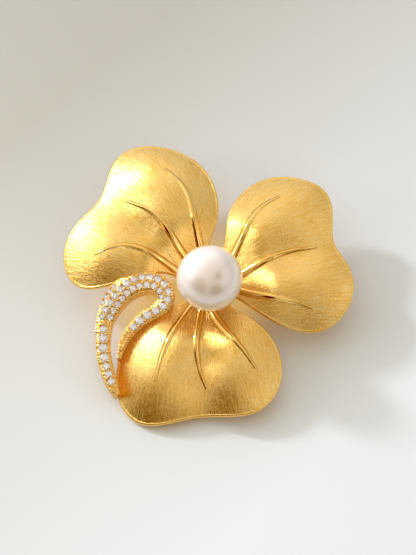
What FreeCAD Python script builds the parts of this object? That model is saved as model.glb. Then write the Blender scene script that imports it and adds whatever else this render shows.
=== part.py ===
"""Flower brooch: three domed petals around a pearl, a stone-set tendril between two of
them, and a hinged pin with a turning safety catch at the back.

Millimetres, +Z up. The brooch lies on its back: the table is Z = 0, and the pin runs
along X. The flower is made in its own plane (the flower plane), where the junction of
the petals is the origin. It is then leaned about X, centred over the table's origin, and
lifted until its lower petal just reaches the table. The hinge and the catch stand on the
table below it.
"""
import FreeCAD, Part

import math
import os

from FreeCAD import Vector

# --- driving dimensions ---------------------------------------------------------------
LEAN = 11.0                 # degrees between the flower plane and the table
SHEET = 0.9                 # thickness of a petal
SOLDER_GAP = 0.03           # room left for solder between two joined pieces

ROOT_FLAT = 3.5             # radius of the flat root around the junction
RISE_END = 11.5             # radius where a petal has risen to its full dome
CREST_AT = 13.0             # distance from the junction to the top of the dome
CREST_REACH = 11.5          # distance from that crest to where the dome is back at zero
RIM_ROUND = 0.28            # fillet along a petal's rim

VEIN_ROOT_R = 0.64          # radius of a vein's rib under the pearl
VEIN_TIP_R = 0.14           # radius at its tip
VEIN_SUNK = 0.35            # share of the rib's radius that lies below the petal's face

HUB_X = 0.4                 # the hub and the pearl stand this far right of the junction,
HUB_Y = -0.55               # and this far up from it
PEARL_R = 5.25
PEARL_LIFT = 0.35           # gap between the junction and the lowest point of the pearl
CUP_R = 3.4                 # rim radius of the pearl cup
CUP_WALL = 0.4
PEG_R = 0.45
PEG_DEPTH = 4.0             # length of peg inside the pearl
PEG_POINT_R = 0.18
GLUE_GAP = 0.04             # room for glue between peg, cup and pearl

BOSS_R = 2.4                # the hub's boss, which the petals' roots meet
FLANGE_R = 4.2
FLANGE_THICK = 0.8
FLANGE_ROUND = 0.24         # fillet round its underside

TENDRIL_DEEP = 2.3          # height of the tendril's side walls
TENDRIL_CROWN = 0.30        # rise of the domed top, as a share of the half width
STONE_GAP = 0.13            # between two stones of a row
SEAT_GAP = 0.02             # between a stone and its seat
BEAD_R = 0.21               # the raised beads that grip the stones
BEAD_ASIDE = 0.42           # from a row's middle to its beads, in stone diameters
BEAD_STEP = 0.5             # between the beads of the end that carries no stones
BEAD_END = 5.0              # where that end begins, before the path's end
BEAD_LAST = 1.0             # and where its beads stop

PIN_Y = 4.6                 # the pin's axis, across the brooch
HINGE_X = -13.0
CATCH_X = 13.0
PIN_R = 0.45
PIN_POINT_R = 0.06
TAPER_LENGTH = 6.6
TIP_PAST_CATCH = 1.5        # how far the point stands out of the catch
RUNNING_GAP = 0.05          # radial clearance of everything that turns

KNUCKLE_R = 1.2
KNUCKLE_WIDE = 1.5
NECK_R = 0.65               # the shaft's thicker neck beside the knuckle
NECK_REACH = 3.0            # from the hinge's axis to where the neck has run out
RIVET_R = 0.5
RIVET_HEAD_R = 0.85
RIVET_HEAD_THICK = 0.3
RIVET_HEAD_ROUND = 0.18
EAR_THICK = 0.7
EAR_LONG = 2.8
EAR_TOP = 4.2               # underside of the bracket's bridge over the table
BRIDGE_THICK = 0.7
EAR_FOOT_ROUND = 0.7
HINGE_POST_R = 1.25
CATCH_POST_R = 1.05

HOUSING_R = 2.1
HOUSING_WALL = 0.6
HOUSING_LONG = 3.4
MOUTH_WIDE = 1.3            # slot that the pin enters by, in housing and rotor
# The pin's axis over the table: the two lips of the mouth rest on the table.
PIN_HEIGHT = math.sqrt(HOUSING_R ** 2 - (MOUTH_WIDE / 2) ** 2)
PIN_ROOM = 0.15             # radial play of the pin in the rotor
LEVER_WIDE = 0.9
LEVER_THICK = 0.6
LEVER_REACH = 2.9
LEVER_AT = 54.0             # degrees from the mouth to the lever when the catch is open
CATCH_TURN = 85.0           # degrees that the rotor turns to lock
LEVER_PLAY = 4.0            # spare degrees at each end of the lever's window

ORIGIN = Vector(0, 0, 0)
X_AXIS = Vector(1, 0, 0)
Y_AXIS = Vector(0, 1, 0)
Z_AXIS = Vector(0, 0, 1)

# Each petal in its own frame: a runs from the junction to the notch, b to the left.
# turn is the direction of a in the flower plane. The outline starts inside the boss and
# goes round by the right (b < 0) side. Each vein runs from under the pearl to its tip.
PETALS = {
    "petal_upper_left": {
        "turn": 139.0,
        "crown": 3.8, "side_drop": 4.6, "valley": 1.8,
        "outline": [
            (0.8, -0.8), (2.6, -3.0), (5.7, -9.0), (10.0, -13.4), (15.5, -15.0),
            (20.4, -13.6), (24.1, -10.4), (25.1, -6.5), (23.8, -3.0), (22.5, 0.2),
            (22.4, 4.6), (21.7, 9.2), (19.1, 12.6), (15.3, 13.4), (11.7, 10.9),
            (8.5, 6.4), (4.8, 2.4), (1.6, 1.4),
        ],
        "veins": [
            [(3.6, -3.0), (8.8, -6.9), (13.2, -9.5), (17.4, -9.9)],
            [(4.1, -0.8), (9.0, -1.9), (14.1, -2.7), (19.0, -1.6)],
            [(3.9, 1.3), (9.8, 2.5), (14.1, 4.7), (16.3, 8.3)],
        ],
    },
    "petal_right": {
        "turn": 20.0,
        "crown": 3.8, "side_drop": 4.6, "valley": 2.6,
        "outline": [
            (0.8, -0.8), (2.4, -2.4), (5.2, -6.2), (10.3, -11.7), (14.7, -13.2),
            (18.9, -11.8), (21.8, -8.4), (22.3, -4.5), (21.6, 0.0), (23.0, 4.3),
            (23.3, 8.2), (20.2, 11.9), (15.3, 13.7), (11.0, 12.8), (7.6, 10.2),
            (4.9, 5.4), (2.4, 2.2), (0.8, 0.8),
        ],
        "veins": [
            [(3.9, 1.4), (7.9, 5.2), (11.9, 8.4), (15.7, 9.4)],
            [(4.2, -0.5), (8.0, -0.1), (13.3, 0.4), (18.4, -0.3)],
            [(3.9, -2.1), (8.4, -5.9), (12.6, -8.6), (14.3, -9.9)],
        ],
    },
    "petal_lower": {
        "turn": -92.0,
        "crown": 3.8, "side_drop": 4.6, "valley": 2.6,
        "outline": [
            (0.8, -0.8), (2.2, -2.6), (3.9, -5.6), (5.9, -8.6), (8.3, -11.3),
            (11.6, -13.3), (15.5, -13.9), (19.9, -12.9), (22.8, -9.9), (22.8, -5.1),
            (21.6, -0.3), (21.5, 3.4), (20.7, 8.5), (17.4, 11.6), (12.6, 12.3),
            (7.8, 10.0), (4.4, 5.5), (2.2, 2.4), (0.8, 0.8),
        ],
        "veins": [
            [(3.9, -2.4), (8.3, -5.0), (13.5, -6.9), (16.6, -7.6)],
            [(4.2, -0.8), (9.8, -1.3), (14.8, -0.5), (17.3, 0.5)],
            [(4.0, 0.8), (7.4, 2.9), (11.8, 6.5), (14.6, 8.5)],
        ],
    },
}
GRID_STEP = 1.0             # spacing of the points that a petal's surface is drawn through
GRID_A = (-2.0, 27.0)
GRID_B = (-17.0, 17.0)
DOME_HALF_WIDTH = 13.0      # where the sides have dropped by side_drop
DOME_POWER = 2.5            # how sharply the sides turn down
VALLEY_FROM = 5.0           # the valley behind the notch deepens from this radius
VALLEY_TO = 14.0            # to this one
VALLEY_SPREAD = 15.0        # degrees either side of the petal's middle

# The tendril's centreline in the flower plane, from its free tail over the loop and back
# to the point that runs out on the lower petal: x, y and the full width there. Its
# shoulders' height over the flower plane is given at even steps along it.
TENDRIL_PATH = [
    (-14.2, -18.2, 0.9), (-15.2, -15.8, 1.9), (-16.0, -13.2, 2.2), (-16.4, -10.7, 2.3),
    (-16.4, -8.1, 2.5), (-15.9, -5.4, 2.9), (-14.7, -3.1, 3.4), (-12.9, -1.1, 3.8),
    (-10.5, -0.1, 3.6), (-8.4, -0.2, 3.2), (-7.0, -1.2, 2.9), (-6.5, -2.6, 2.8),
    (-7.0, -3.9, 2.7), (-8.3, -4.9, 2.4), (-10.1, -6.0, 2.2), (-11.8, -7.6, 1.9),
    (-13.3, -10.1, 1.3), (-13.9, -12.4, 0.6),
]
TENDRIL_TOPS = [0.3, 0.5, 0.7, 1.0, 1.5, 2.0, 2.3, 2.1, 1.7, 1.3, 0.9]
# Rows of stones: where the first lies along the path, the sideways offset at even steps
# along the row (plus is the outside of the loop), and the diameter of every stone.
STONE_ROWS = {
    "tail": {
        "start": 2.5, "offsets": [0.0, 0.0],
        "diameters": [1.15, 1.15, 1.2, 1.4, 1.45, 1.4, 1.15],
    },
    "outer": {
        "start": 13.0, "offsets": [0.62, 0.35, 0.35, 0.6, 0.65, 0.6, 0.3, 0.0, 0.0],
        "diameters": [1.0, 1.2, 1.2, 1.2, 1.2, 1.25, 1.2, 1.15, 1.15,
                      1.2, 1.2, 1.25, 1.15, 1.2, 1.25, 1.4, 1.4, 1.15],
    },
    "inner": {
        "start": 13.3, "offsets": [-0.68, -0.85, -0.95, -0.8, -0.75, -0.75, -0.75],
        "diameters": [1.1, 1.05, 1.05, 1.0, 1.0, 1.0, 1.0, 1.0, 1.0, 1.0, 0.85],
    },
    "side": {
        "start": 15.0, "offsets": [1.32, 1.42, 1.42, 1.4],
        "diameters": [0.85, 0.9, 0.9, 0.9],
    },
}
STONE_FACETS = 8
TABLE_SHARE = 0.56          # parts of a stone as shares of its diameter
CROWN_SHARE = 0.15
GIRDLE_SHARE = 0.03
PAVILION_SHARE = 0.42
CULET_ROOM_SHARE = 0.12     # radius of the flat bottom of a stone's seat
STONE_SUNK = 0.05           # depth of the girdle's top below the tendril's face


# --- small helpers --------------------------------------------------------------------
def smooth_step(value, low, high):
    share = min(1.0, max(0.0, (value - low) / (high - low)))
    return share * share * (3 - 2 * share)


def along(values, share):
    """The value at a share of the way through an evenly spaced list."""
    place = share * (len(values) - 1)
    index = min(len(values) - 2, int(place))
    return values[index] + (values[index + 1] - values[index]) * (place - index)


def lean_flower(shape, junction):
    """Carries a shape from the flower plane to where it lies over the table."""
    placed = shape.copy()
    placed.rotate(ORIGIN, X_AXIS, LEAN)
    placed.translate(junction)
    return placed


def junction_over_table(petals):
    """Where the junction lies once the leaned petals are centred and touch the table."""
    leaned = Part.makeCompound([lean_flower(shape, ORIGIN) for shape in petals])
    box = leaned.optimalBoundingBox(False, False)
    return Vector(-box.Center.x, -box.Center.y, -box.ZMin)


def faced(shape, point, out):
    """Moves a shape made about +Z at the origin to a point, with +Z along out."""
    placed = shape.copy()
    turn = FreeCAD.Rotation(Z_AXIS, out)
    placed.Placement = FreeCAD.Placement(point, turn)
    return placed


def turned(shape, spec):
    """Turns a shape from a petal's own frame into the flower plane."""
    placed = shape.copy()
    placed.rotate(ORIGIN, Z_AXIS, spec["turn"])
    return placed


def closed_curve(points):
    curve = Part.BSplineCurve()
    curve.interpolate([Vector(*point) for point in points], PeriodicFlag=True)
    return curve


def open_curve(points):
    curve = Part.BSplineCurve()
    curve.interpolate([Vector(*point) for point in points])
    return curve


def x_cylinder(radius, x_from, x_to):
    """A cylinder about the pin's axis."""
    return Part.makeCylinder(
        radius, x_to - x_from, Vector(x_from, PIN_Y, PIN_HEIGHT), X_AXIS)


# --- petals ---------------------------------------------------------------------------
def petal_height(a, b, spec):
    """Height of a petal's upper face over the flower plane."""
    radius = math.hypot(a, b)
    heading = math.degrees(math.atan2(b, a))
    dome = spec["crown"] * (1 - ((a - CREST_AT) / CREST_REACH) ** 2)
    sides = spec["side_drop"] * (abs(b) / DOME_HALF_WIDTH) ** DOME_POWER
    valley = (spec["valley"] * smooth_step(radius, VALLEY_FROM, VALLEY_TO)
              * math.exp(-(heading / VALLEY_SPREAD) ** 2))
    return (dome - sides - valley) * smooth_step(radius, ROOT_FLAT, RISE_END)


def upper_face(spec):
    """The petal's upper surface over the whole grid, in the petal's own frame."""
    steps_a = int((GRID_A[1] - GRID_A[0]) / GRID_STEP) + 1
    steps_b = int((GRID_B[1] - GRID_B[0]) / GRID_STEP) + 1
    rows = []
    for i in range(steps_a):
        a = GRID_A[0] + i * GRID_STEP
        bs = [GRID_B[0] + j * GRID_STEP for j in range(steps_b)]
        rows.append([Vector(a, b, petal_height(a, b, spec)) for b in bs])
    surface = Part.BSplineSurface()
    surface.interpolate(rows)
    return surface.toShape()


def rounded_rim(shape):
    """Rounds the two closed edges of a petal's rim, which are its longest."""
    longest = max(edge.Length for edge in shape.Edges)
    rim = [edge for edge in shape.Edges if edge.Length > 0.9 * longest]
    return shape.makeFillet(RIM_ROUND, rim)


def vein(points, spec):
    """A tapered half-sunk rib that follows the petal's face."""
    path = open_curve([(a, b, petal_height(a, b, spec)) for a, b in points])
    sections = []
    count = 9
    for i in range(count):
        share = i / (count - 1)
        place = path.parameterAtDistance(share * path.length(), path.FirstParameter)
        on_path = path.value(place)
        radius = VEIN_ROOT_R + (VEIN_TIP_R - VEIN_ROOT_R) * share ** 1.5
        height = petal_height(on_path.x, on_path.y, spec) - VEIN_SUNK * radius
        centre = Vector(on_path.x, on_path.y, height)
        circle = Part.Circle(ORIGIN, Z_AXIS, radius).toShape()
        seam_down = FreeCAD.Rotation(-Z_AXIS, Vector(), path.tangent(place)[0], "ZXY")
        circle.Placement = FreeCAD.Placement(centre, seam_down)
        sections.append(Part.Wire([circle]))
    return Part.makeLoft(sections, True, False)


def petal(spec, tendril_room):
    """One cast petal in the flower plane, with its veins."""
    sheet = upper_face(spec).extrude(Z_AXIS * -SHEET)
    reach = 8.0
    outline = closed_curve([(a, b, -reach) for a, b in spec["outline"]])
    blank = Part.Face(Part.Wire([outline.toShape()])).extrude(Z_AXIS * 2 * reach)
    shape = rounded_rim(sheet.common(blank))
    for points in spec["veins"]:
        shape = shape.fuse(vein(points, spec))
    boss_room = Part.makeCylinder(BOSS_R + SOLDER_GAP, 2 * reach, Vector(HUB_X, HUB_Y, -reach))
    return turned(shape, spec).cut([boss_room, tendril_room])


def room_over_petal(spec, room=20.0):
    """Everything above a petal's underside: what a post below it is cut back by."""
    underside = upper_face(spec)
    underside.translate(Z_AXIS * -(SHEET + SOLDER_GAP))
    return turned(underside.extrude(Z_AXIS * room), spec)


# --- the junction and the pearl -------------------------------------------------------
def hub():
    """The disc that the petals are soldered to, with a boss up between their roots."""
    flange_top = -(SHEET + SOLDER_GAP)
    flange = Part.makeCylinder(
        FLANGE_R, FLANGE_THICK, Vector(HUB_X, HUB_Y, flange_top - FLANGE_THICK))
    low_edge = [e for e in flange.Edges if e.BoundBox.ZMax < flange_top - 0.5 * FLANGE_THICK]
    flange = flange.makeFillet(FLANGE_ROUND, low_edge)
    boss = Part.makeCylinder(BOSS_R, -flange_top, Vector(HUB_X, HUB_Y, flange_top))
    return flange.fuse(boss).removeSplitter()


def pearl_centre():
    return Vector(HUB_X, HUB_Y, PEARL_LIFT + PEARL_R)


def pearl_cup():
    """A dish with the pearl's own curve, standing on the boss, bored for the peg."""
    inner = Part.makeSphere(PEARL_R + GLUE_GAP, pearl_centre())
    outer = Part.makeSphere(PEARL_R + GLUE_GAP + CUP_WALL, pearl_centre())
    rim = Part.makeCylinder(CUP_R, PEARL_R, Vector(HUB_X, HUB_Y, 0))
    foot = Part.makeCylinder(BOSS_R, PEARL_LIFT + CUP_WALL, Vector(HUB_X, HUB_Y, 0))
    bore = Part.makeCylinder(PEG_R, PEARL_R, Vector(HUB_X, HUB_Y, 0))
    return outer.common(rim).fuse(foot).cut([inner, bore]).removeSplitter()


def pearl_peg():
    """The peg that the pearl is glued on, pointed at its top."""
    length = PEARL_LIFT + PEG_DEPTH
    shank = Part.makeCylinder(PEG_R, length - PEG_R, Vector(HUB_X, HUB_Y, 0))
    point = Part.makeCone(PEG_R, PEG_POINT_R, PEG_R, Vector(HUB_X, HUB_Y, length - PEG_R))
    return shank.fuse(point).removeSplitter()


def pearl():
    ball = Part.makeSphere(PEARL_R, pearl_centre())
    depth = PEARL_LIFT + PEG_DEPTH + GLUE_GAP
    drilled = Part.makeCylinder(PEG_R + GLUE_GAP, depth, Vector(HUB_X, HUB_Y, 0))
    return ball.cut(drilled)


# --- the tendril and its stones -------------------------------------------------------
class Path:
    """The tendril's centreline. Places on it are distances from the tail's tip."""

    def __init__(self):
        self.curve = open_curve(TENDRIL_PATH)
        self.length = self.curve.length()

    def at(self, distance):
        """Centre, sideways unit vector (to the outside of the loop) and half width."""
        distance = min(self.length, max(0.0, distance))
        place = self.curve.parameterAtDistance(distance, self.curve.FirstParameter)
        point = self.curve.value(place)
        direction = self.curve.tangent(place)[0]
        sideways = Vector(-direction.y, direction.x, 0)
        sideways.normalize()
        return Vector(point.x, point.y, 0), sideways, point.z / 2

    def top(self, distance):
        """Height of the shoulders over the flower plane."""
        return along(TENDRIL_TOPS, min(1.0, max(0.0, distance / self.length)))

    def on_top(self, distance, offset):
        """A point on the domed top, and the direction that the top faces there."""
        centre, sideways, half = self.at(distance)
        rise = TENDRIL_CROWN * half
        radius = (half * half + rise * rise) / (2 * rise)
        lean = math.asin(max(-0.95, min(0.95, offset / radius)))
        height = self.top(distance) + rise - radius * (1 - math.cos(lean))
        out = sideways * math.sin(lean) + Z_AXIS * math.cos(lean)
        return centre + sideways * offset + Z_AXIS * height, out, half


def tendril_body(path, grow=0.0, stretch=0.0):
    """The bar under the stones: straight walls, flat base and a domed top."""
    sections = []
    count = 34
    for i in range(count):
        distance = path.length * i / (count - 1)
        centre, sideways, half = path.at(distance)
        half += grow
        low = path.top(distance) - TENDRIL_DEEP - stretch
        high = path.top(distance) + stretch
        corners = [centre + sideways * side + Z_AXIS * z for side, z in
                   ((-half, high), (-half, low), (half, low), (half, high))]
        crown = centre + Z_AXIS * (high + TENDRIL_CROWN * half)
        edges = [Part.LineSegment(corners[k], corners[k + 1]).toShape() for k in range(3)]
        edges.append(Part.Arc(corners[3], crown, corners[0]).toShape())
        sections.append(Part.Wire(edges))
    return Part.makeLoft(sections, True, False)


def stone_places(path):
    """Every stone as a name, a centre, the direction it faces and its diameter. Each
    stone of a row lies STONE_GAP past the one before."""
    found = []
    step = 0.02
    for row, spec in STONE_ROWS.items():
        distance = spec["start"]
        diameters = spec["diameters"]
        for i, diameter in enumerate(diameters):
            offset = along(spec["offsets"], i / (len(diameters) - 1))
            point, out, half = path.on_top(distance, offset)
            if i:
                need = (diameter + diameters[i - 1]) / 2 + STONE_GAP
                while (point - found[-1][1]).Length < need and distance < path.length:
                    distance += step
                    point, out, half = path.on_top(distance, offset)
            found.append((f"stone_{row}_{i + 1:02d}", point, out, diameter))
    return found


def cut_stone(diameter):
    """A single-cut stone: table, crown, girdle and pavilion, girdle top at Z = 0."""
    def ring(radius, z):
        return [Vector(radius * math.cos(2 * math.pi * k / STONE_FACETS),
                       radius * math.sin(2 * math.pi * k / STONE_FACETS), z)
                for k in range(STONE_FACETS)]

    def face(*points):
        return Part.Face(Part.makePolygon([*points, points[0]]))

    table = ring(TABLE_SHARE * diameter / 2, CROWN_SHARE * diameter)
    upper = ring(diameter / 2, 0)
    lower = ring(diameter / 2, -GIRDLE_SHARE * diameter)
    culet = Vector(0, 0, -(GIRDLE_SHARE + PAVILION_SHARE) * diameter)
    faces = [face(*table)]
    for k in range(STONE_FACETS):
        n = (k + 1) % STONE_FACETS
        faces.append(face(table[k], table[n], upper[n], upper[k]))
        faces.append(face(upper[k], upper[n], lower[n], lower[k]))
        faces.append(face(lower[k], lower[n], culet))
    return Part.makeSolid(Part.makeShell(faces))


def stone_seat(diameter):
    """The hole that a stone drops into."""
    radius = diameter / 2 + SEAT_GAP
    depth = (GIRDLE_SHARE + PAVILION_SHARE) * diameter + 2 * SEAT_GAP
    girdle = GIRDLE_SHARE * diameter + SEAT_GAP
    open_top = Part.makeCylinder(radius, girdle + diameter, Vector(0, 0, -girdle))
    cone = Part.makeCone(CULET_ROOM_SHARE * diameter, radius, depth - girdle, Vector(0, 0, -depth))
    return open_top.fuse(cone)


def bead_places(path, stones):
    """Beads between neighbours of a row, on both sides, clear of every stone; and a
    double line of smaller ones where the returning end runs out of stones."""
    found = []
    for row in STONE_ROWS:
        members = [s for s in stones if s[0].startswith(f"stone_{row}_")]
        for one, two in zip(members, members[1:]):
            middle = (one[1] + two[1]) / 2
            out = (one[2] + two[2]).normalize()
            side = (two[1] - one[1]).cross(out).normalize()
            reach = BEAD_ASIDE * (one[3] + two[3]) / 2
            found += [middle + side * reach, middle - side * reach]
    distance = path.length - BEAD_END
    while distance < path.length - BEAD_LAST:
        half = path.at(distance)[2]
        for offset in (-0.45 * half, 0.45 * half):
            found.append(path.on_top(distance, offset)[0])
        distance += BEAD_STEP
    kept = []
    for point in found:
        clear_of_stones = all((point - s[1]).Length > s[3] / 2 + 0.75 * BEAD_R for s in stones)
        clear_of_beads = all((point - other).Length > 1.3 * BEAD_R for other in kept)
        if clear_of_stones and clear_of_beads:
            kept.append(point)
    return kept


def tendril(path, stones):
    body = tendril_body(path)
    beads = [Part.makeSphere(BEAD_R, point) for point in bead_places(path, stones)]
    seats = [faced(stone_seat(d), point - out * STONE_SUNK, out)
             for name, point, out, d in stones]
    return body.fuse(beads).cut(seats)


# --- the pin, its hinge and its catch ---------------------------------------------------
def post(x, radius, from_z, petal_name, junction):
    """A post whose top is cut to the underside of the petal that it is soldered to."""
    column = Part.makeCylinder(radius, 2 * junction.z, Vector(x, PIN_Y, from_z))
    return column.cut(lean_flower(room_over_petal(PETALS[petal_name]), junction))


def hinge_bracket():
    """A bridge with two ears that hold the rivet."""
    inner = KNUCKLE_WIDE / 2 + RUNNING_GAP
    outer = inner + EAR_THICK
    start = Vector(HINGE_X - EAR_LONG / 2, PIN_Y - outer, 0)
    block = Part.makeBox(EAR_LONG, 2 * outer, EAR_TOP + BRIDGE_THICK, start)
    upright = [e for e in block.Edges
               if abs(e.tangentAt(e.FirstParameter).y) > 0.9 and e.BoundBox.ZMax < 1.0]
    block = block.makeFillet(EAR_FOOT_ROUND, upright)
    gap = Part.makeBox(EAR_LONG + 2, 2 * inner, EAR_TOP + 1,
                       Vector(HINGE_X - EAR_LONG / 2 - 1, PIN_Y - inner, -1))
    hole = Part.makeCylinder(
        RIVET_R, 4 * outer, Vector(HINGE_X, PIN_Y - 2 * outer, PIN_HEIGHT), Y_AXIS)
    return block.cut([gap, hole])


def hinge_rivet():
    """Shank and two domed heads outside the ears."""
    outer = KNUCKLE_WIDE / 2 + RUNNING_GAP + EAR_THICK
    shank = Part.makeCylinder(
        RIVET_R, 2 * outer, Vector(HINGE_X, PIN_Y - outer, PIN_HEIGHT), Y_AXIS)
    heads = []
    for side in (-1, 1):
        head = Part.makeCylinder(
            RIVET_HEAD_R, RIVET_HEAD_THICK,
            Vector(HINGE_X, PIN_Y + side * outer, PIN_HEIGHT), Y_AXIS * side)
        rim = [e for e in head.Edges
               if abs(e.BoundBox.Center.y - PIN_Y) > outer + 0.9 * RIVET_HEAD_THICK]
        heads.append(head.makeFillet(RIVET_HEAD_ROUND, rim))
    return shank.fuse(heads)


def pin_stem():
    """Round knuckle on the rivet, a straight shaft and a long sharp point."""
    tip_x = CATCH_X + HOUSING_LONG / 2 + TIP_PAST_CATCH
    taper_x = tip_x - TAPER_LENGTH
    knuckle = Part.makeCylinder(
        KNUCKLE_R, KNUCKLE_WIDE,
        Vector(HINGE_X, PIN_Y - KNUCKLE_WIDE / 2, PIN_HEIGHT), Y_AXIS)
    neck = Part.makeCone(
        NECK_R, PIN_R, NECK_REACH, Vector(HINGE_X, PIN_Y, PIN_HEIGHT), X_AXIS)
    shaft = x_cylinder(PIN_R, HINGE_X, taper_x)
    point = Part.makeCone(
        PIN_R, PIN_POINT_R, TAPER_LENGTH, Vector(taper_x, PIN_Y, PIN_HEIGHT), X_AXIS)
    hole = Part.makeCylinder(
        RIVET_R + RUNNING_GAP, 2 * KNUCKLE_WIDE,
        Vector(HINGE_X, PIN_Y - KNUCKLE_WIDE, PIN_HEIGHT), Y_AXIS)
    return knuckle.fuse([neck, shaft, point]).cut(hole).removeSplitter()


def mouth(reach):
    """The slot below the pin's axis, wide enough for the pin to drop through."""
    return Part.makeBox(
        2 * HOUSING_LONG, MOUTH_WIDE, reach,
        Vector(CATCH_X - HOUSING_LONG, PIN_Y - MOUTH_WIDE / 2, PIN_HEIGHT - reach))


def wedge(radius, wide, start, sweep):
    """A slice of a disc about the pin's axis. Angles run from straight down towards +Y."""
    disc = Part.makeCylinder(
        radius, wide, Vector(CATCH_X - wide / 2, PIN_Y, PIN_HEIGHT), X_AXIS, sweep)
    disc.rotate(Vector(CATCH_X, PIN_Y, PIN_HEIGHT), X_AXIS, start - first_wedge_angle())
    return disc


def first_wedge_angle():
    """Where makeCylinder starts a slice about X, measured from straight down."""
    probe = Part.makeCylinder(1.0, 1.0, ORIGIN, X_AXIS, 1.0).CenterOfMass
    return math.degrees(math.atan2(probe.y, -probe.z)) - 0.5


def catch_housing():
    """The fixed C-shaped tube, with its mouth down and a window for the lever."""
    x_from, x_to = CATCH_X - HOUSING_LONG / 2, CATCH_X + HOUSING_LONG / 2
    tube = x_cylinder(HOUSING_R, x_from, x_to)
    bore = x_cylinder(HOUSING_R - HOUSING_WALL, x_from - 1, x_to + 1)
    play = LEVER_PLAY + math.degrees(LEVER_THICK / 2 / (HOUSING_R - HOUSING_WALL))
    window = wedge(2 * HOUSING_R, LEVER_WIDE + 4 * RUNNING_GAP,
                   LEVER_AT - play, CATCH_TURN + 2 * play)
    return tube.cut([bore, mouth(2 * HOUSING_R), window])


def catch_rotor():
    """The turning sleeve that closes the mouth, with its thumb lever."""
    x_from, x_to = CATCH_X - HOUSING_LONG / 2, CATCH_X + HOUSING_LONG / 2
    sleeve = x_cylinder(HOUSING_R - HOUSING_WALL - RUNNING_GAP, x_from, x_to)
    lever = Part.makeBox(
        LEVER_WIDE, LEVER_THICK, LEVER_REACH,
        Vector(CATCH_X - LEVER_WIDE / 2, PIN_Y - LEVER_THICK / 2, PIN_HEIGHT - LEVER_REACH))
    lever.rotate(Vector(CATCH_X, PIN_Y, PIN_HEIGHT), X_AXIS, LEVER_AT)
    bore = x_cylinder(PIN_R + PIN_ROOM, x_from - 1, x_to + 1)
    return sleeve.fuse(lever).cut([bore, mouth(HOUSING_R)])


# --- the whole brooch -----------------------------------------------------------------
def flower_parts():
    """Every sub-part of the flower in the flower plane, by node name."""
    path = Path()
    stones = stone_places(path)
    tendril_room = tendril_body(path, SOLDER_GAP, 4.0)
    parts = {name: petal(spec, tendril_room) for name, spec in PETALS.items()}
    parts["hub"] = hub()
    parts["pearl_cup"] = pearl_cup()
    parts["pearl_peg"] = pearl_peg()
    parts["pearl"] = pearl()
    parts["tendril"] = tendril(path, stones)
    for name, point, out, diameter in stones:
        parts[name] = faced(cut_stone(diameter), point - out * STONE_SUNK, out)
    return parts


def mechanism_parts(junction):
    """Every sub-part of the pin, its hinge and its catch, by node name."""
    room_for_housing = x_cylinder(HOUSING_R, CATCH_X - HOUSING_LONG, CATCH_X + HOUSING_LONG)
    catch_column = post(CATCH_X, CATCH_POST_R, PIN_HEIGHT, "petal_right", junction)
    return {
        "hinge_post": post(
            HINGE_X, HINGE_POST_R, EAR_TOP + BRIDGE_THICK, "petal_upper_left", junction),
        "hinge_bracket": hinge_bracket(),
        "hinge_rivet": hinge_rivet(),
        "pin_stem": pin_stem(),
        "catch_post": catch_column.cut(room_for_housing),
        "catch_housing": catch_housing(),
        "catch_rotor": catch_rotor(),
    }


def main():
    os.makedirs("parts", exist_ok=True)
    flower = flower_parts()
    junction = junction_over_table([flower[name] for name in PETALS])
    parts = {name: lean_flower(shape, junction) for name, shape in flower.items()}
    parts.update(mechanism_parts(junction))
    for name, shape in parts.items():
        shape.exportStep(f"parts/{name}.step")


main()
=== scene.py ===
import math
import random

import bmesh
import bpy
import numpy as np
from mathutils import Matrix, Quaternion, Vector

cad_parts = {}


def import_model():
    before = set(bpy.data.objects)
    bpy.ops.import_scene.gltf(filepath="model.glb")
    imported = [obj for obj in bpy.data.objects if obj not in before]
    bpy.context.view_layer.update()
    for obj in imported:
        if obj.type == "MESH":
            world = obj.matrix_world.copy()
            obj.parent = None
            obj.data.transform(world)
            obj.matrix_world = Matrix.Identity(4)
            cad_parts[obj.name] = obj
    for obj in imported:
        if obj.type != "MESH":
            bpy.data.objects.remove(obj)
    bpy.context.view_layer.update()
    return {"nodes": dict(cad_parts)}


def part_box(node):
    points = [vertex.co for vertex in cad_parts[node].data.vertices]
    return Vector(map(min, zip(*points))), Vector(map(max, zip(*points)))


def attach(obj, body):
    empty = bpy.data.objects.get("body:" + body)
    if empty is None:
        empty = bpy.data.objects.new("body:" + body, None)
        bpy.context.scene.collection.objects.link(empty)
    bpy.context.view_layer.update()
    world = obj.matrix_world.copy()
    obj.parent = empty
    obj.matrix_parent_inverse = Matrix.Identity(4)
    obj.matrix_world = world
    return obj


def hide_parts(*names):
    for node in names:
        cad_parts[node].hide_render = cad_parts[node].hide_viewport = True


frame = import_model()

MM = 0.001

# --- the flower plane: the junction of the petals is its origin, in millimetres --------
LEAN = math.radians(11.0)   # of the flower plane from the table
PEARL_R = 5.25
PEARL_LIFT = 0.35           # from the flower plane to the pearl's lowest point
HUB_X = 0.4                 # the middle of the hub and the pearl
HUB_Y = -0.55
BOSS_R = 2.4                # the hub's boss, round which the petals' roots are cut
BOSS_GAP = 0.03
SHEET = 0.9                 # how thick a petal is

# A petal's dome. Distances are from the junction.
ROOT_FLAT = 3.5             # flat up to here
RISE_END = 11.5             # fully risen from here
CREST_AT = 13.0
CREST_REACH = 11.5          # this far from the crest the dome is down to nothing
DOME_HALF_WIDTH = 13.0      # this far from the middle line the sides are down by side_drop
DOME_POWER = 2.5
VALLEY_FROM = 5.0           # the valley along the middle line begins here
VALLEY_TO = 14.0            # and has its full depth from here
VALLEY_SPREAD = 15.0        # degrees to each side
UNEVEN_RISE = 0.02          # height and size of the faint unevenness
UNEVEN_SIZE = 3.0
PETAL_SEED = 20

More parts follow.
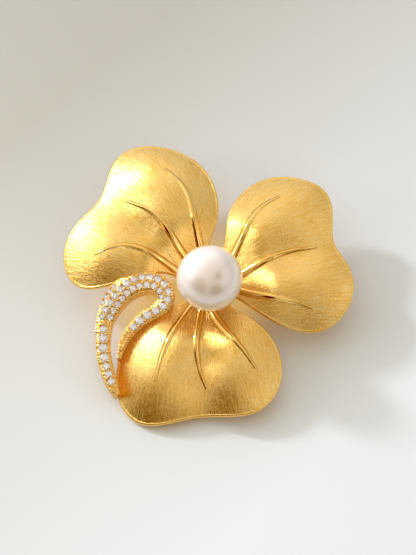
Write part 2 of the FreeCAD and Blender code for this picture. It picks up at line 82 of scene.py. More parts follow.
# turn is in degrees, the rest in millimetres along and across each petal.
PETALS = {
    "petal_upper_left": {
        "turn": 139.0,
        "crown": 3.8, "side_drop": 4.6, "valley": 1.8,
        "outline": [
            (0.8, -0.8), (2.6, -3.0), (5.7, -9.0), (10.0, -13.4), (15.5, -15.0),
            (20.4, -13.6), (24.1, -10.4), (25.1, -6.5), (23.8, -3.0), (22.5, 0.2),
            (22.4, 4.6), (21.7, 9.2), (19.1, 12.6), (15.3, 13.4), (11.7, 10.9),
            (8.5, 6.4), (4.8, 2.4), (1.6, 1.4),
        ],
        "veins": [
            [(3.6, -3.0), (8.8, -6.9), (13.2, -9.5), (17.4, -9.9)],
            [(4.1, -0.8), (9.0, -1.9), (14.1, -2.7), (19.0, -1.6)],
            [(3.9, 1.3), (9.8, 2.5), (14.1, 4.7), (16.3, 8.3)],
        ],
    },
    "petal_right": {
        "turn": 20.0,
        "crown": 3.8, "side_drop": 4.6, "valley": 2.6,
        "outline": [
            (0.8, -0.8), (2.4, -2.4), (5.2, -6.2), (10.3, -11.7), (14.7, -13.2),
            (18.9, -11.8), (21.8, -8.4), (22.3, -4.5), (21.6, 0.0), (23.0, 4.3),
            (23.3, 8.2), (20.2, 11.9), (15.3, 13.7), (11.0, 12.8), (7.6, 10.2),
            (4.9, 5.4), (2.4, 2.2), (0.8, 0.8),
        ],
        "veins": [
            [(3.9, 1.4), (7.9, 5.2), (11.9, 8.4), (15.7, 9.4)],
            [(4.2, -0.5), (8.0, -0.1), (13.3, 0.4), (18.4, -0.3)],
            [(3.9, -2.1), (8.4, -5.9), (12.6, -8.6), (14.3, -9.9)],
        ],
    },
    "petal_lower": {
        "turn": -92.0,
        "crown": 3.8, "side_drop": 4.6, "valley": 2.6,
        "outline": [
            (0.8, -0.8), (2.2, -2.6), (3.9, -5.6), (5.9, -8.6), (8.3, -11.3),
            (11.6, -13.3), (15.5, -13.9), (19.9, -12.9), (22.8, -9.9), (22.8, -5.1),
            (21.6, -0.3), (21.5, 3.4), (20.7, 8.5), (17.4, 11.6), (12.6, 12.3),
            (7.8, 10.0), (4.4, 5.5), (2.2, 2.4), (0.8, 0.8),
        ],
        "veins": [
            [(3.9, -2.4), (8.3, -5.0), (13.5, -6.9), (16.6, -7.6)],
            [(4.2, -0.8), (9.8, -1.3), (14.8, -0.5), (17.3, 0.5)],
            [(4.0, 0.8), (7.4, 2.9), (11.8, 6.5), (14.6, 8.5)],
        ],
    },
}

# A vein is a round rib along each line of veins, sunk into the petal.
VEIN_ROOT_R = 0.64
VEIN_TIP_R = 0.14
VEIN_TAPER = 1.5            # its radius shrinks with this power of the share along it
VEIN_SUNK = 0.35            # how far its middle lies under the face, as a share of its radius

# The tendril's centreline, x, y and full width, and its shoulders' height at even steps.
TENDRIL_PATH = [
    (-14.2, -18.2, 0.9), (-15.2, -15.8, 1.9), (-16.0, -13.2, 2.2), (-16.4, -10.7, 2.3),
    (-16.4, -8.1, 2.5), (-15.9, -5.4, 2.9), (-14.7, -3.1, 3.4), (-12.9, -1.1, 3.8),
    (-10.5, -0.1, 3.6), (-8.4, -0.2, 3.2), (-7.0, -1.2, 2.9), (-6.5, -2.6, 2.8),
    (-7.0, -3.9, 2.7), (-8.3, -4.9, 2.4), (-10.1, -6.0, 2.2), (-11.8, -7.6, 1.9),
    (-13.3, -10.1, 1.3), (-13.9, -12.4, 0.6),
]
TENDRIL_TOPS = [0.3, 0.5, 0.7, 1.0, 1.5, 2.0, 2.3, 2.1, 1.7, 1.3, 0.9]
TENDRIL_CROWN = 0.30        # height of its rounded top, as a share of its half width
TENDRIL_STEPS = 600
GRAIN_R = 0.13              # the fine beads along its two borders
GRAIN_STEP = 0.34
GRAIN_INSET = 0.10          # from the border to their middles
GRAIN_START = 1.0           # no beads this near the tail's tip
GRAIN_STOP = 0.3            # or this near the other tip
GRAIN_CLEAR = 0.7           # none nearer to a stone than this share of a bead's radius

# A petal's mesh runs in rings round a middle point: front, rim and underside.
MESH_CENTRE = np.array([11.0, 0.0])
VEIN_STEPS = 70
OUTLINE_STEPS = 720
TOP_RINGS = 110
UNDER_RINGS = 16
RIM_STEPS = 8
RIM_ROUND = 0.38
RIB_SNAP = 0.055            # points this near the foot of a rib are slid on to it
RIB_SNAP_END = 0.97         # but not beyond this share of the rib's length
SHARP_EDGE = math.radians(50)

# How far a place of a petal is polished: 0 is satin and 1 is as bright as the ribs.
RIM_POLISH = 0.25
UNDER_POLISH = 0.25

# The brushing fans out from a point behind the petal's root.
FAN_ROOT = 18.0             # from the fan's point to the junction
FAN_TRUE = 30.0             # from the fan's point to where it is true to size
BRUSHING_SCALE = 0.02       # texture units per millimetre

# --- the pearl's and the stones' meshes ------------------------------------------------
PEARL_AROUND = 128
PEARL_RINGS = 96
PEARL_UNEVEN = 0.0015       # as a share of the radius
PEARL_SEED = 11
STONE_SEED = 7
GIRDLE_FROM = 0.98          # a stone's points from this share of its radius are its girdle

# A brilliant's rings of corners from the top down: how many, how far turned in steps, and
# the distance from the axis and the height as shares of the stone's radius.
BRILLIANT = [
    (8, 0.5, 0.56, 0.33),       # table
    (8, 0.0, 0.78, 0.20),       # star
    (16, 0.0, 1.0, 0.03),       # girdle's upper edge
    (16, 0.0, 1.0, -0.03),      # girdle's lower edge
    (8, 0.5, 0.22, -0.68),      # lower main facets
]
CULET_DEPTH = 0.86

# --- the picture -----------------------------------------------------------------------
VIEW_ELEVATION = math.radians(63.0)
LENS = 400.0
SENSOR = 36.0
VIEW_WIDTH = 66.1 * MM              # width of the view at the junction
AIM_RIGHT = 0.16 * MM               # from the junction to the middle of the view
AIM_UP = 1.14 * MM
CLIP_START = 0.01

# The paper under the brooch is painted with shade: darker towards the back and the left, where a
# shadow from outside the view falls, and paler towards the right and the front.
FLOOR_SHADE_SLOPE = (9.0, -9.5, 0.0)      # change of the share per metre
FLOOR_SHARE = 0.57                  # the share at the origin
FLOOR_SHADOWED = (0.52, 0.515, 0.455)
FLOOR_LIT = (0.90, 0.955, 1.0)
FLOOR_HALF = 2.0                    # metres from the origin to its edges

# --- the light -------------------------------------------------------------------------
WARM = (1.0, 0.93, 0.80)
COOL = (0.95, 1.0, 1.22)
DEEP = (0.85, 0.95, 1.05)

# Each patch of the room: its direction, half width in degrees, brightness and colour.
# A negative brightness takes light away.
ROOM = [
    ((0, 0, 1), 179.0, 0.78, WARM),
    ((-0.10, 0.93, 0.35), 42.0, 0.50, COOL),
    ((-0.65, 0.51, 0.57), 38.0, 0.36, COOL),
    ((-0.72, 0.60, 0.36), 20.0, 0.9, COOL),
    ((-0.93, 0.13, 0.34), 34.0, 0.50, COOL),
    ((0.83, -0.25, 0.49), 38.0, 0.36, COOL),
    ((0.53, -0.26, 0.80), 19.0, -0.80, DEEP),
    ((-0.60, -0.63, 0.49), 33.0, -0.75, DEEP),
    ((0.36, -0.88, 0.31), 28.0, -0.56, DEEP),
]


def pearl_centre():
    low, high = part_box("pearl")
    return (Vector(low) + Vector(high)) / 2


def flower_matrix():
    """Flower plane in millimetres to the row frame in metres."""
    up = PEARL_LIFT + PEARL_R
    lean = Matrix.Rotation(LEAN, 4, "X")
    junction = pearl_centre() - lean @ Vector((HUB_X * MM, HUB_Y * MM, up * MM))
    return Matrix.Translation(junction) @ lean @ Matrix.Scale(MM, 4)


FLOWER = flower_matrix()


def to_row(points):
    """Points of the flower plane, an n by 3 array in millimetres, in the row frame."""
    matrix = np.array(FLOWER)
    return points @ matrix[:3, :3].T + matrix[:3, 3]


# --- curves ----------------------------------------------------------------------------
def spline_bends(points, chords, closed):
    """Second derivatives, at its points, of the smooth cubic through them."""
    count = len(points)
    system = np.zeros((count, count))
    wanted = np.zeros(points.shape)
    slopes = (np.roll(points, -1, 0) - points) / chords[:, None]
    for i in range(count):
        if not closed and i in (0, count - 1):
            system[i, i] = 1
            continue
        system[i, i - 1] += chords[i - 1]
        system[i, i] += 2 * (chords[i - 1] + chords[i])
        system[i, (i + 1) % count] += chords[i]
        wanted[i] = 6 * (slopes[i] - slopes[i - 1])
    return np.linalg.solve(system, wanted)


def smooth_curve(points, count, closed=False):
    """count points at even steps along the smooth cubic through the given ones."""
    steps_per_span = 60
    points = np.array(points, float)
    chords = np.linalg.norm(np.roll(points, -1, 0) - points, axis=1)
    bends = spline_bends(points, chords, closed)
    dense = []
    spans = len(points) if closed else len(points) - 1
    for i in range(spans):
        n = (i + 1) % len(points)
        u = np.linspace(0, 1, steps_per_span, endpoint=False)[:, None]
        v = 1 - u
        size = chords[i] ** 2 / 6
        dense.append(v * points[i] + u * points[n]
                     + size * ((v ** 3 - v) * bends[i] + (u ** 3 - u) * bends[n]))
    dense.append(points[:1] if closed else points[-1:])
    dense = np.vstack(dense)
    steps = np.linalg.norm(np.diff(dense, axis=0), axis=1)
    far = np.concatenate([[0], np.cumsum(steps)])
    wanted = np.linspace(0, far[-1], count, endpoint=not closed)
    return np.column_stack([np.interp(wanted, far, dense[:, k]) for k in range(points.shape[1])])


def smooth_step(value, low, high):
    share = np.clip((value - low) / (high - low), 0, 1)
    return share * share * (3 - 2 * share)


def ripple(a, b, seed, size):
    """Smooth unevenness between about -1 and 1, its bumps about size across."""
    draw = random.Random(seed)
    waves = 7
    usual_peak = 4
    total = 0
    for _ in range(waves):
        heading = draw.uniform(0, 2 * math.pi)
        phase = draw.uniform(0, 2 * math.pi)
        wave = 2 * math.pi / (size * draw.uniform(1.6, 3.2))
        total = total + np.sin(wave * (a * math.cos(heading) + b * math.sin(heading)) + phase)
    return total / usual_peak


# --- meshes ----------------------------------------------------------------------------
def placed_object(name, mesh, smooth):
    """An object that shows the mesh, linked to the scene."""
    if smooth:
        mesh.polygons.foreach_set("use_smooth", np.ones(len(mesh.polygons), bool))
    piece = bpy.data.objects.new(name, mesh)
    bpy.context.collection.objects.link(piece)
    return piece


def object_from_points(name, points, faces, smooth=True):
    mesh = bpy.data.meshes.new(name)
    mesh.from_pydata([tuple(p) for p in points], [], faces)
    mesh.validate()
    mesh.update()
    return placed_object(name, mesh, smooth)


def object_from_bmesh(name, build, smooth=True, placing=None):
    mesh = bpy.data.meshes.new(name)
    build.to_mesh(mesh)
    build.free()
    if placing is not None:
        mesh.transform(placing)
    return placed_object(name, mesh, smooth)


def ring_faces(rings, around):
    """Quads between successive closed rings of points."""
    faces = []
    for i in range(rings - 1):
        for j in range(around):
            n = (j + 1) % around
            faces.append((i * around + j, i * around + n,
                          (i + 1) * around + n, (i + 1) * around + j))
    return faces


def petal_height(a, b, spec):
    """Height of the front face without its ribs, at a along and b across the petal."""
    radius = np.hypot(a, b)
    heading = np.degrees(np.arctan2(b, a))
    dome = spec["crown"] * (1 - ((a - CREST_AT) / CREST_REACH) ** 2)
    sides = spec["side_drop"] * (np.abs(b) / DOME_HALF_WIDTH) ** DOME_POWER
    valley = (spec["valley"] * smooth_step(radius, VALLEY_FROM, VALLEY_TO)
              * np.exp(-(heading / VALLEY_SPREAD) ** 2))
    return (dome - sides - valley) * smooth_step(radius, ROOT_FLAT, RISE_END)


def vein_field(spots, veins):
    """For each spot: the nearest vein's foot point, the distance to it, and how far along
    that vein it is as a share of its length."""
    best = np.full(len(spots), np.inf)
    foot = np.zeros((len(spots), 2))
    share = np.zeros(len(spots))
    for points in veins:
        line = smooth_curve(points, VEIN_STEPS)
        for i in range(len(line) - 1):
            start, step = line[i], line[i + 1] - line[i]
            t = np.clip((spots - start) @ step / (step @ step), 0, 1)
            near = start + t[:, None] * step
            gap = np.linalg.norm(spots - near, axis=1)
            closer = gap < best
            best[closer] = gap[closer]
            foot[closer] = near[closer]
            share[closer] = ((i + t) / (len(line) - 1))[closer]
    return foot, best, share


def vein_rise(gap, share):
    """Height of a vein's half-sunk round rib, and how wide it is where it leaves the face."""
    radius = VEIN_ROOT_R + (VEIN_TIP_R - VEIN_ROOT_R) * share ** VEIN_TAPER
    half_width = radius * math.sqrt(1 - VEIN_SUNK ** 2)
    inside = np.clip(1 - (gap / radius) ** 2, 0, None)
    rise = np.clip(radius * np.sqrt(inside) - VEIN_SUNK * radius, 0, None)
    return rise, half_width


def petal_outline(spec):
    """The outline, cut back to the boss at the root."""
    outline = smooth_curve(spec["outline"], OUTLINE_STEPS, closed=True)
    turn = math.radians(spec["turn"])
    boss = np.array([HUB_X * math.cos(turn) + HUB_Y * math.sin(turn),
                     HUB_Y * math.cos(turn) - HUB_X * math.sin(turn)])
    trim = BOSS_R + BOSS_GAP
    away = outline - MESH_CENTRE
    from_boss = MESH_CENTRE - boss
    a = (away ** 2).sum(1)
    b = 2 * (away @ from_boss)
    c = from_boss @ from_boss - trim ** 2
    spread = b ** 2 - 4 * a * c
    hit = (-b - np.sqrt(np.clip(spread, 0, None))) / (2 * a)
    cut = (spread > 0) & (hit > 0) & (hit < 1)
    outline[cut] = MESH_CENTRE + away[cut] * hit[cut][:, None]
    return outline


def top_rings(inner, spec, seed):
    """Rings of the front face from its middle out, and how far each point is polished."""
    rings = []
    polish = []
    for i in range(1, TOP_RINGS + 1):
        spots = MESH_CENTRE + (inner - MESH_CENTRE) * (i / TOP_RINGS)
        foot, gap, share = vein_field(spots, spec["veins"])
        rise, half_width = vein_rise(gap, share)
        if i < TOP_RINGS:
            # Points near the foot of a rib are slid on to it, so that its edge is clean.
            near = (np.abs(gap - half_width) < RIB_SNAP) & (gap > 1e-4) & (share < RIB_SNAP_END)
            direction = (spots - foot) / np.maximum(gap, 1e-6)[:, None]
            spots[near] = foot[near] + direction[near] * half_width[near][:, None]
            rise[near] = 0
            gap[near] = half_width[near]
        height = petal_height(spots[:, 0], spots[:, 1], spec) + rise
        height = height + UNEVEN_RISE * ripple(spots[:, 0], spots[:, 1], seed, UNEVEN_SIZE)
        rings.append(np.column_stack([spots, height]))
        polish.append((gap <= half_width + 1e-6).astype(float))
    return rings, polish


def rim_rings(inner, outward, edge_height):
    """Rings round the rim: a quarter round, a straight wall and another quarter round."""
    straight = SHEET - 2 * RIM_ROUND
    quarter = [math.pi / 2 * k / RIM_STEPS for k in range(RIM_STEPS + 1)]
    profile = [(math.sin(angle), RIM_ROUND * (1 - math.cos(angle))) for angle in quarter[1:]]
    profile += [(math.cos(angle), RIM_ROUND * (1 + math.sin(angle)) + straight)
                for angle in quarter]
    return [np.column_stack([inner + outward * RIM_ROUND * out, edge_height - down])
            for out, down in profile]


def under_rings(inner, spec):
    """Rings of the underside from its rim in."""
    rings = []
    for i in range(UNDER_RINGS - 1, 0, -1):
        spots = MESH_CENTRE + (inner - MESH_CENTRE) * (i / UNDER_RINGS)
        height = petal_height(spots[:, 0], spots[:, 1], spec) - SHEET
        rings.append(np.column_stack([spots, height]))
    return rings


def turned(points, degrees):
    """Points turned about the flower's axis."""
    cos, sin = math.cos(math.radians(degrees)), math.sin(math.radians(degrees))
    return np.column_stack([points[:, 0] * cos - points[:, 1] * sin,
                            points[:, 0] * sin + points[:, 1] * cos, points[:, 2]])


def petal(name, spec, seed):
    """One petal as a closed mesh, with its polish and the direction of its brushing."""
    outline = petal_outline(spec)
    tangent = np.roll(outline, -1, 0) - np.roll(outline, 1, 0)
    tangent /= np.linalg.norm(tangent, axis=1)[:, None]
    outward = np.column_stack([tangent[:, 1], -tangent[:, 0]])
    inner = outline - outward * RIM_ROUND

    front, front_polish = top_rings(inner, spec, seed)
    rim = rim_rings(inner, outward, front[-1][:, 2])
    under = under_rings(inner, spec)
    rings = front + rim + under
    middle = petal_height(MESH_CENTRE[0], MESH_CENTRE[1], spec)
    points = np.vstack([*rings, [[*MESH_CENTRE, middle], [*MESH_CENTRE, middle - SHEET]]])
    polish = np.concatenate([*front_polish,
                             np.full(len(rim) * OUTLINE_STEPS, RIM_POLISH),
                             np.full(len(under) * OUTLINE_STEPS, UNDER_POLISH),
                             [0.0, UNDER_POLISH]])

    faces = ring_faces(len(rings), OUTLINE_STEPS)
    top_middle, under_middle = len(points) - 2, len(points) - 1
    last = (len(rings) - 1) * OUTLINE_STEPS
    for j in range(OUTLINE_STEPS):
        n = (j + 1) % OUTLINE_STEPS
        faces.append((top_middle, n, j))
        faces.append((under_middle, last + j, last + n))

    piece = object_from_points(name + "_cast", to_row(turned(points, spec["turn"])), faces)
    mark = piece.data.attributes.new("polish", "FLOAT", "POINT")
    mark.data.foreach_set("value", polish)
    grain = piece.data.uv_layers.new(name="grain")
    corner = np.zeros(len(piece.data.loops), np.int32)
    piece.data.loops.foreach_get("vertex_index", corner)
    fan = points[:, 1] * FAN_TRUE / (FAN_ROOT + points[:, 0])
    uv = np.column_stack([points[:, 0], fan])[corner] * BRUSHING_SCALE + 0.5
    grain.data.foreach_set("uv", uv.ravel())
    piece.data.set_sharp_from_angle(angle=SHARP_EDGE)
    return piece


# --- materials -------------------------------------------------------------------------
class Nodes:
    """Short calls for building one material's nodes."""

    def __init__(self, name):
        self.material = bpy.data.materials.new(name)
        self.material.use_nodes = True
        self.tree = self.material.node_tree
        self.shader = self.tree.nodes["Principled BSDF"]

    def new(self, kind, **settings):
        node = self.tree.nodes.new(kind)
        for key, value in settings.items():
            if key in node.inputs:
                node.inputs[key].default_value = value
            else:
                setattr(node, key, value)
        return node

    def link(self, output, socket):
        self.tree.links.new(output, socket)

    def set(self, **values):
        for key, value in values.items():
            self.shader.inputs[key.replace("_", " ")].default_value = value

    def math(self, operation, one, two):
        node = self.new("ShaderNodeMath", operation=operation)
        for slot_index, value in enumerate((one, two)):
            if isinstance(value, (int, float)):
                node.inputs[slot_index].default_value = value
            else:
                self.link(value, node.inputs[slot_index])
        return node.outputs[0]

    def blend(self, share, one, two):
        """A number between one and two."""
        node = self.new("ShaderNodeMapRange")
        self.link(share, node.inputs["Value"])
        for socket, value in (("To Min", one), ("To Max", two)):
            if isinstance(value, (int, float)):
                node.inputs[socket].default_value = value
            else:
                self.link(value, node.inputs[socket])
        return node.outputs["Result"]

    def colours(self, share, *stops):
        """A colour ramp through the stops, each a place and a colour."""
        node = self.new("ShaderNodeValToRGB")
        ramp = node.color_ramp
        ramp.elements[0].position, ramp.elements[0].color = stops[0][0], (*stops[0][1], 1)
        ramp.elements[1].position, ramp.elements[1].color = stops[-1][0], (*stops[-1][1], 1)
        for place, colour in stops[1:-1]:
            ramp.elements.new(place).color = (*colour, 1)
        self.link(share, node.inputs[0])
        return node.outputs[0]

    def noise(self, vector, detail, rough, scale=1.0):
        node = self.new("ShaderNodeTexNoise", Scale=scale, Detail=detail, Roughness=rough)
        self.link(vector, node.inputs["Vector"])
        return node.outputs["Fac"]

    def stretched(self, vector, scale):
        """Texture coordinates made finer along each axis."""
        node = self.new("ShaderNodeMapping")
        node.inputs["Scale"].default_value = scale
        self.link(vector, node.inputs["Vector"])
        return node.outputs["Vector"]

    def bump(self, height, strength, distance, before=None):
        """A normal tilted by the height, on top of the one before it."""
        node = self.new("ShaderNodeBump", Strength=strength, Distance=distance)
        self.link(height, node.inputs["Height"])
        if before is not None:
            self.link(before, node.inputs["Normal"])
        return node.outputs["Normal"]


GOLD = (1.0, 0.65, 0.19)


def brushed_gold():
    """Satin gold with fine scratches along the petal, polished where polish is 1."""
    n = Nodes("brushed_gold")
    n.set(Metallic=1.0, Anisotropic=0.55, Anisotropic_Rotation=0.25)
    uv = n.new("ShaderNodeUVMap", uv_map="grain").outputs["UV"]
    tangent = n.new("ShaderNodeTangent", direction_type="UV_MAP", uv_map="grain")
    n.link(tangent.outputs[0], n.shader.inputs["Tangent"])
    polish = n.new("ShaderNodeAttribute", attribute_name="polish").outputs["Fac"]
    fine = n.noise(n.stretched(uv, (28.0, 215.0, 1.0)), detail=4.0, rough=0.7)
    broad = n.noise(n.stretched(uv, (16.0, 105.0, 1.0)), detail=2.0, rough=0.5)
    glitter = n.noise(n.stretched(uv, (150.0, 260.0, 1.0)), detail=2.0, rough=0.6)
    streak = n.math("ADD", n.math("MULTIPLY", fine, 0.75), n.math("MULTIPLY", broad, 0.25))
    cloud = n.noise(n.stretched(uv, (12.0, 12.0, 1.0)), detail=2.0, rough=0.5)
    tone = n.math("ADD", n.math("MULTIPLY", streak, 0.75), n.math("MULTIPLY", cloud, 0.25))
    colour = n.colours(tone, (0.36, (0.87, 0.50, 0.09)), (0.5, GOLD),
                       (0.64, (1.0, 0.73, 0.29)))
    n.link(colour, n.shader.inputs["Base Color"])
    satin = n.blend(streak, 0.17, 0.36)
    polished_roughness = 0.07
    n.link(n.blend(polish, satin, polished_roughness), n.shader.inputs["Roughness"])
    matt = n.math("SUBTRACT", 1.0, polish)
    lines = n.bump(n.math("MULTIPLY", streak, matt), strength=1.0, distance=0.00013)
    specks = n.bump(n.math("MULTIPLY", glitter, matt), strength=0.7, distance=0.00005,
                    before=lines)
    n.link(specks, n.shader.inputs["Normal"])
    return n.material


def polished_gold(name, roughness=0.16, worn=0.06, colour=GOLD):
    """Gold polished by hand: faint waviness and hairlines."""
    n = Nodes(name)
    n.set(Metallic=1.0)
    where = n.new("ShaderNodeTexCoord").outputs["Object"]
    wave = n.noise(where, scale=900.0, detail=2.0, rough=0.5)
    hair = n.noise(n.stretched(where, (900.0, 9000.0, 2500.0)), detail=2.0, rough=0.6)
    dimmed = 0.86
    darker = tuple(dimmed * c for c in colour)
    n.link(n.colours(wave, (0.3, darker), (0.6, colour)), n.shader.inputs["Base Color"])
    n.link(n.blend(hair, roughness - worn, roughness + worn), n.shader.inputs["Roughness"])
    waviness = n.bump(wave, strength=0.25, distance=0.00004)
    hairlines = n.bump(hair, strength=0.15, distance=0.00001, before=waviness)
    n.link(hairlines, n.shader.inputs["Normal"])
    return n.material


def grained_gold():
    """Gold worked all over with fine rounded grains; painted shade makes it deep orange in the
    hollows between them and lighter on their tops.
    """
    n = Nodes("grained_gold")
    n.set(Metallic=1.0, Roughness=0.17)
    where = n.new("ShaderNodeTexCoord").outputs["Object"]
    grain = n.new("ShaderNodeTexVoronoi", Scale=3000.0)
    n.link(where, grain.inputs["Vector"])
    # Painted highlight and shade: each grain's top is lighter and the hollows between grains are
    # deeper orange.
    colour = n.colours(grain.outputs["Distance"],
                       (0.15, (1.0, 0.76, 0.32)), (0.7, (0.92, 0.50, 0.10)))
    n.link(colour, n.shader.inputs["Base Color"])
    round_top = n.math("SUBTRACT", 1.0, grain.outputs["Distance"])
    grains = n.bump(round_top, strength=0.9, distance=0.00012)
    n.link(grains, n.shader.inputs["Normal"])
    return n.material


def nacre():
    """Cream pearl, pinkish where it faces the eye, with a soft gloss; its golden edge is a
    painted reflection of the gold petals.
    """
    n = Nodes("nacre")
    n.set(Roughness=0.24, Metallic=0.12, IOR=2.2, Coat_Weight=1.0, Coat_Roughness=0.12,
          Subsurface_Weight=0.15, Subsurface_Scale=0.0008)
    n.shader.inputs["Subsurface Radius"].default_value = (1.0, 0.8, 0.7)
    where = n.new("ShaderNodeTexCoord").outputs["Object"]
    facing = n.new("ShaderNodeLayerWeight", Blend=0.35).outputs["Facing"]
    cloud = n.noise(where, scale=260.0, detail=3.0, rough=0.5)
    # Cream and pink are the pearl's own colour; the golden end of this ramp, at the edge, is a
    # painted reflection of the gold petals.
    body = n.colours(facing, (0.0, (1.0, 0.87, 0.80)), (0.45, (1.0, 0.93, 0.88)),
                     (0.8, (1.0, 0.88, 0.76)), (1.0, (1.0, 0.82, 0.60)))
    mix = n.new("ShaderNodeMix", data_type="RGBA", blend_type="MULTIPLY")
    mix.inputs[0].default_value = 0.35
    # Inputs 6 and 7 and output 2 are this node's colours.
    n.link(body, mix.inputs[6])
    n.link(n.colours(cloud, (0.3, (0.93, 0.95, 1.0)), (0.7, (1.0, 0.95, 0.92))), mix.inputs[7])
    n.link(mix.outputs[2], n.shader.inputs["Base Color"])
    skin = n.noise(where, scale=1500.0, detail=3.0, rough=0.6)
    n.link(n.bump(skin, strength=0.06, distance=0.00003), n.shader.inputs["Normal"])
    return n.material


def stone_glass():
    """Clear cut stone. Its very weak glow stands for light that a plain room doesn't give."""
    n = Nodes("clear_stone")
    n.set(Roughness=0.0, IOR=2.42, Transmission_Weight=1.0, Emission_Strength=0.022)
    n.shader.inputs["Emission Color"].default_value = (1.0, 0.96, 1.0, 1)
    n.shader.inputs["Base Color"].default_value = (1.0, 0.99, 1.0, 1)
    return n.material


def paint(piece, material):
    """Gives every face of a piece one material."""
    piece.data.materials.clear()
    piece.data.materials.append(material)


def floor_material():
    n = Nodes("floor_paper")
    n.set(Roughness=0.65)
    where = n.new("ShaderNodeTexCoord").outputs["Object"]
    slope = n.new("ShaderNodeVectorMath", operation="DOT_PRODUCT")
    slope.inputs[1].default_value = FLOOR_SHADE_SLOPE
    n.link(where, slope.inputs[0])
    share = n.math("ADD", slope.outputs["Value"], FLOOR_SHARE)
    # Painted shade: the paper's colour goes from the shadowed tone at the back left to the lit
    # tone at the right and front.
    n.link(n.colours(share, (0.0, FLOOR_SHADOWED), (1.0, FLOOR_LIT)), n.shader.inputs["Base Color"])
    fibres = n.noise(where, scale=900.0, detail=4.0, rough=0.6)
    n.link(n.bump(fibres, strength=0.1, distance=0.00005), n.shader.inputs["Normal"])
    return n.material


# --- the stones ------------------------------------------------------------------------
def stone_seat(node):
    """Centre of the girdle, direction of the table and radius of a stone, off its node."""
    data = frame["nodes"][node].data
    points = np.array([v.co for v in data.vertices])
    points = np.unique(points.round(8), axis=0)
    centre = points.mean(0)
    _, _, axes = np.linalg.svd(points - centre)
    out = axes[2]
    depth = (points - centre) @ out
    if depth.max() > -depth.min():
        out, depth = -out, -depth
    flat = np.linalg.norm((points - centre) - np.outer(depth, out), axis=1)
    radius = flat.max()
    girdle = points[flat > GIRDLE_FROM * radius]
    return Vector(girdle.mean(0)), Vector(out), radius


def brilliant(name, radius):
    """A round brilliant of 57 facets: table up along +Z, the girdle's middle at Z = 0."""
    build = bmesh.new()
    rings = []
    for count, turn, share, height in BRILLIANT:
        angles = [2 * math.pi * (k + turn) / count for k in range(count)]
        rings.append([build.verts.new((share * radius * math.cos(angle),
                                       share * radius * math.sin(angle), height * radius))
                      for angle in angles])
    table, star, upper, lower, main = rings
    culet = build.verts.new((0, 0, -CULET_DEPTH * radius))
    build.faces.new(table)
    for k in range(8):
        n = (k + 1) % 8
        build.faces.new((table[k - 1], star[k], table[k]))
        build.faces.new((table[k], star[k], upper[(2 * k + 1) % 16], star[n]))
        build.faces.new((star[k], upper[2 * k], upper[2 * k + 1]))
        build.faces.new((star[k], upper[2 * k - 1], upper[2 * k]))
        build.faces.new((lower[2 * k], lower[2 * k - 1], main[k - 1]))
        build.faces.new((lower[2 * k + 1], lower[2 * k], main[k]))
        build.faces.new((main[k - 1], culet, main[k], lower[2 * k]))
    for k in range(16):
        n = (k + 1) % 16
        build.faces.new((upper[k], lower[k], lower[n], upper[n]))
    bmesh.ops.recalc_face_normals(build, faces=build.faces)
    return object_from_bmesh(name, build, smooth=False)


def set_stones(material):
    """A brilliant in the place of each of the frame's plain stones."""
    draw = random.Random(STONE_SEED)
    for node in sorted(frame["nodes"]):
        if not node.startswith("stone_"):
            continue
        centre, out, radius = stone_seat(node)
        piece = brilliant(node + "_brilliant", radius)
        spin = Quaternion((0, 0, 1), draw.uniform(0, math.pi / 4))
        turn = Vector((0, 0, 1)).rotation_difference(out)
        piece.data.transform(Matrix.Translation(centre) @ (turn @ spin).to_matrix().to_4x4())
        paint(piece, material)
        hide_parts(node)
        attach(piece, "brooch")


def tendril_grain(material):
    """Fine beads along both borders of the tendril, except where a stone lies."""
    path = smooth_curve(TENDRIL_PATH, TENDRIL_STEPS)
    steps = np.linalg.norm(np.diff(path[:, :2], axis=0), axis=1)
    far = np.concatenate([[0], np.cumsum(steps)])
    stones = [stone_seat(node) for node in frame["nodes"] if node.startswith("stone_")]
    build = bmesh.new()
    for distance in np.arange(GRAIN_START, far[-1] - GRAIN_STOP, GRAIN_STEP):
        index = int(np.searchsorted(far, distance))
        way = path[index, :2] - path[index - 1, :2]
        sideways = np.array([-way[1], way[0]]) / np.linalg.norm(way)
        half = path[index, 2] / 2
        share = distance / far[-1]
        top = np.interp(share * (len(TENDRIL_TOPS) - 1), range(len(TENDRIL_TOPS)), TENDRIL_TOPS)
        for side in (-1, 1):
            offset = half - GRAIN_INSET
            bulge = TENDRIL_CROWN * half * (1 - (offset / half) ** 2)
            spot = path[index, :2] + side * offset * sideways
            middle = FLOWER @ Vector((*spot, top + bulge))
            if any((middle - centre).length < radius + GRAIN_CLEAR * GRAIN_R * MM
                   for centre, _, radius in stones):
                continue
            bmesh.ops.create_icosphere(build, subdivisions=2, radius=GRAIN_R * MM,
                                       matrix=Matrix.Translation(middle))
    piece = object_from_bmesh("tendril_grain", build)
    paint(piece, material)
    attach(piece, "brooch")


# --- the pearl -------------------------------------------------------------------------
def pearl(material):
    """The pearl, its roundness very slightly uneven."""
    build = bmesh.new()
    bmesh.ops.create_uvsphere(build, u_segments=PEARL_AROUND, v_segments=PEARL_RINGS,
                              radius=PEARL_R * MM)
    for v in build.verts:
        way = v.co.normalized()
        across, along = way.x * 6 + way.z * 3, way.y * 6 - way.z * 2
        uneven = float(ripple(across, along, PEARL_SEED, size=4.0))
        v.co = way * (PEARL_R * MM) * (1 - PEARL_UNEVEN + PEARL_UNEVEN * uneven)
    placing = Matrix.Translation(pearl_centre()) @ Matrix.Rotation(LEAN, 4, "X")
    piece = object_from_bmesh("pearl_nacre", build, placing=placing)
    paint(piece, material)
    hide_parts("pearl")
    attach(piece, "brooch")


# --- floor, light and camera -----------------------------------------------------------
def floor():
    corners = [(x * FLOOR_HALF, y * FLOOR_HALF, 0.0)
               for x, y in ((-1, -1), (1, -1), (1, 1), (-1, 1))]
    piece = object_from_points("floor", corners, [(0, 1, 2, 3)], smooth=False)
    paint(piece, floor_material())


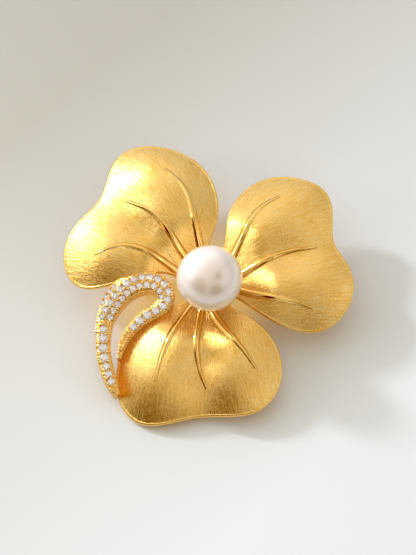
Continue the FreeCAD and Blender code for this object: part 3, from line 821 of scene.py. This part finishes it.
def camera():
    data = bpy.data.cameras.new("view")
    data.lens = LENS
    data.sensor_width = SENSOR
    data.sensor_fit = "HORIZONTAL"
    data.clip_start = CLIP_START
    eye = bpy.data.objects.new("view", data)
    bpy.context.collection.objects.link(eye)
    back = Vector((0, -math.cos(VIEW_ELEVATION), math.sin(VIEW_ELEVATION)))
    up = Vector((0, math.sin(VIEW_ELEVATION), math.cos(VIEW_ELEVATION)))
    aim = FLOWER.translation + Vector((1, 0, 0)) * AIM_RIGHT + up * AIM_UP
    eye.location = aim + back * (VIEW_WIDTH * LENS / SENSOR)
    eye.rotation_euler = (math.pi / 2 - VIEW_ELEVATION, 0, 0)
    bpy.context.scene.camera = eye


def disk_lamp(name, size, power, colour):
    data = bpy.data.lights.new(name, "AREA")
    data.shape = "DISK"
    data.size = size
    data.energy = power
    data.color = colour
    lamp = bpy.data.objects.new(name, data)
    bpy.context.collection.objects.link(lamp)
    return lamp


def aimed_lamp(name, towards, distance, size, power, colour):
    """A lamp that shines on the origin from the given direction and isn't seen itself."""
    lamp = disk_lamp(name, size, power, colour)
    way = Vector(towards).normalized()
    lamp.location = way * distance
    lamp.rotation_mode = "QUATERNION"
    lamp.rotation_quaternion = way.to_track_quat("Z", "Y")
    lamp.visible_camera = False


def glow():
    """Warm light that the gold undersides throw on the table. It shines straight down."""
    lamp = disk_lamp("glow", size=0.024, power=0.0009, colour=(1.0, 0.58, 0.12))
    lamp.location = (-0.004, 0.001, 0.0042)


def world():
    """A room of soft round patches. Each fades from its middle to its edge."""
    sky = bpy.data.worlds.new("room")
    bpy.context.scene.world = sky
    sky.use_nodes = True
    tree = sky.node_tree
    way = tree.nodes.new("ShaderNodeTexCoord").outputs["Generated"]
    total = None
    for towards, width, amount, colour in ROOM:
        dot = tree.nodes.new("ShaderNodeVectorMath")
        dot.operation = "DOT_PRODUCT"
        dot.inputs[1].default_value = Vector(towards).normalized()
        tree.links.new(way, dot.inputs[0])
        ramp = tree.nodes.new("ShaderNodeMapRange")
        ramp.interpolation_type = "SMOOTHSTEP"
        ramp.inputs["From Min"].default_value = math.cos(math.radians(width))
        ramp.inputs["To Max"].default_value = amount
        tree.links.new(dot.outputs["Value"], ramp.inputs["Value"])
        tint = tree.nodes.new("ShaderNodeVectorMath")
        tint.operation = "MULTIPLY_ADD"
        tint.inputs[0].default_value = colour
        tree.links.new(ramp.outputs["Result"], tint.inputs[1])
        if total is not None:
            tree.links.new(total, tint.inputs[2])
        total = tint.outputs[0]
    tree.links.new(total, tree.nodes["Background"].inputs["Color"])


# --- the scene -------------------------------------------------------------------------
brushed = brushed_gold()
polished = polished_gold("polished_gold")
fittings = polished_gold("fittings_gold", roughness=0.2, colour=(0.90, 0.60, 0.23))
pin_gold = polished_gold("pin_gilt", roughness=0.12, worn=0.04, colour=(0.92, 0.66, 0.30))

for index, (name, spec) in enumerate(PETALS.items()):
    piece = petal(name, spec, PETAL_SEED + index)
    paint(piece, brushed)
    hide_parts(name)
    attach(piece, "brooch")

pearl(nacre())
set_stones(stone_glass())
tendril_grain(polished)

grained = grained_gold()
for node, material in (("tendril", grained), ("hub", polished), ("pearl_cup", polished),
                       ("pearl_peg", polished), ("hinge_post", fittings),
                       ("hinge_bracket", fittings), ("hinge_rivet", fittings),
                       ("catch_post", fittings), ("catch_housing", fittings),
                       ("catch_rotor", fittings), ("pin_stem", pin_gold)):
    paint(frame["nodes"][node], material)

floor()
camera()
world()
aimed_lamp("near_lamp", towards=(-0.83, 0.05, 0.55), distance=0.083,
           size=0.02, power=0.008, colour=(1.0, 0.98, 0.95))
aimed_lamp("key", towards=(-0.73, 0.51, 0.46), distance=0.6,
           size=0.07, power=1.7, colour=(0.97, 1.0, 1.1))
glow()
bpy.context.scene.view_settings.view_transform = "Standard"
